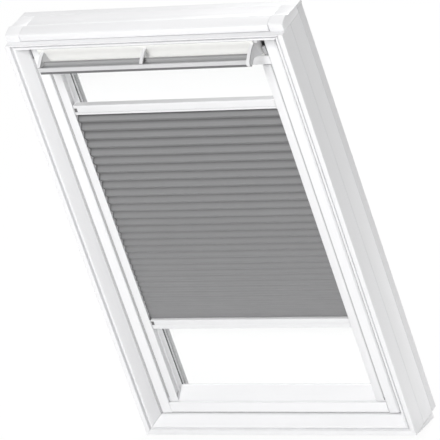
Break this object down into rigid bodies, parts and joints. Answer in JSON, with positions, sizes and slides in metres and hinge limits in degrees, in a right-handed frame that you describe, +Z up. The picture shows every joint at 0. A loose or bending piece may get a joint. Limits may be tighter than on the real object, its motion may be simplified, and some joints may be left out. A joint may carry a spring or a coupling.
{
  "type": "roof window with pleated blind",
  "caption": "Centre-pivot roof window with mitred white frame, turning glazed sash, ventilation flap with control bar, and a pleated blind sliding in side rails.",
  "frame": {"origin": "centre of the overall bounding box", "axes": "+X to the right seen from the room, +Y out through the glass, +Z up the slope of the roof"},
  "size_m": [0.78, 0.1642, 1.214],
  "materials": {
    "white_lacquer": "white satin lacquer on pine",
    "rail_lacquer": "white powder coat, satin",
    "flap_lacquer": "off-white lacquer, satin",
    "cover_white": "white coating, satin",
    "cover_grey": "grey coating, satin",
    "brushed_aluminium": "anodised, satin",
    "bar_lacquer": "white powder coat, satin",
    "arm_grey": "grey, matte",
    "cap_white": "white, matte",
    "zinc_steel": "zinc plated, satin",
    "gasket_rubber": "black, matte",
    "spacer_grey": "grey, matte",
    "clear_glass": "clear, polished",
    "grey_pleats": "woven, matte",
    "cord_white": "braided, matte"
  },
  "bodies": {
    "frame": {"frame_head": "white_lacquer", "frame_sill": "white_lacquer", "frame_jamb_left": "white_lacquer", "frame_jamb_right": "white_lacquer", "head_capping": "white_lacquer", "head_corner_left": "white_lacquer", "head_corner_right": "white_lacquer", "sill_wedge": "white_lacquer", "cover_head": "cover_white", "cover_sill": "cover_white", "cover_jamb_left": "cover_white", "cover_jamb_right": "cover_white", "pivot_socket_left": "zinc_steel", "pivot_socket_right": "zinc_steel", "lock_striker": "zinc_steel"},
    "sash": {"sash_top_rail": "white_lacquer", "sash_bottom_rail": "white_lacquer", "sash_stile_left": "white_lacquer", "sash_stile_right": "white_lacquer", "blind_rail_left": "rail_lacquer", "blind_rail_right": "rail_lacquer", "sash_cover_left": "cover_grey", "sash_cover_right": "cover_grey", "sash_cover_top": "cover_grey", "sash_cover_bottom": "cover_grey", "lock_case": "cap_white", "rail_foot_left": "cap_white", "rail_foot_right": "cap_white", "rail_cap_left": "cap_white", "rail_cap_right": "cap_white", "pivot_pin_left": "zinc_steel", "pivot_pin_right": "zinc_steel", "gasket_left": "gasket_rubber", "gasket_right": "gasket_rubber", "gasket_bottom": "gasket_rubber", "gasket_top": "gasket_rubber", "spacer_left": "spacer_grey", "spacer_right": "spacer_grey", "spacer_bottom": "spacer_grey", "spacer_top": "spacer_grey", "glass_inner": "clear_glass", "glass_outer": "clear_glass", "pleated_fabric": "grey_pleats", "rail_cord_left": "cord_white", "rail_cord_right": "cord_white"},
    "flap": {"vent_flap": "flap_lacquer", "flap_seal": "gasket_rubber", "bar_arm_left": "arm_grey", "bar_arm_middle": "arm_grey", "bar_arm_right": "arm_grey", "control_bar": "brushed_aluminium"},
    "latch": {"latch_bolt": "zinc_steel"},
    "top_bar": {"blind_top_bar": "bar_lacquer", "glider_top_left": "cap_white", "glider_top_right": "cap_white"},
    "bottom_bar": {"blind_bottom_bar": "bar_lacquer", "glider_bottom_left": "cap_white", "glider_bottom_right": "cap_white"}
  },
  "joints": [
    {"name": "sash_pivot", "type": "hinge", "parent": "frame", "child": "sash", "pos_m": [0, 0.01785, 0], "axis": [1, 0, 0], "range_deg": [0, 160]},
    {"name": "flap_hinge", "type": "hinge", "parent": "sash", "child": "flap", "pos_m": [0, -0.0094, 0.505], "axis": [1, 0, 0], "range_deg": [0, 35]},
    {"name": "latch_slide", "type": "slide", "parent": "sash", "child": "latch", "axis": [0, 0, 1], "range_m": [0, 0.012]},
    {"name": "top_bar_slide", "type": "slide", "parent": "sash", "child": "top_bar", "axis": [0, 0, 1], "range_m": [-0.27, 0.09], "deforming": ["pleated_fabric"]},
    {"name": "bottom_bar_slide", "type": "slide", "parent": "sash", "child": "bottom_bar", "axis": [0, 0, 1], "range_m": [-0.19, 0.27], "deforming": ["pleated_fabric"]}
  ]
}
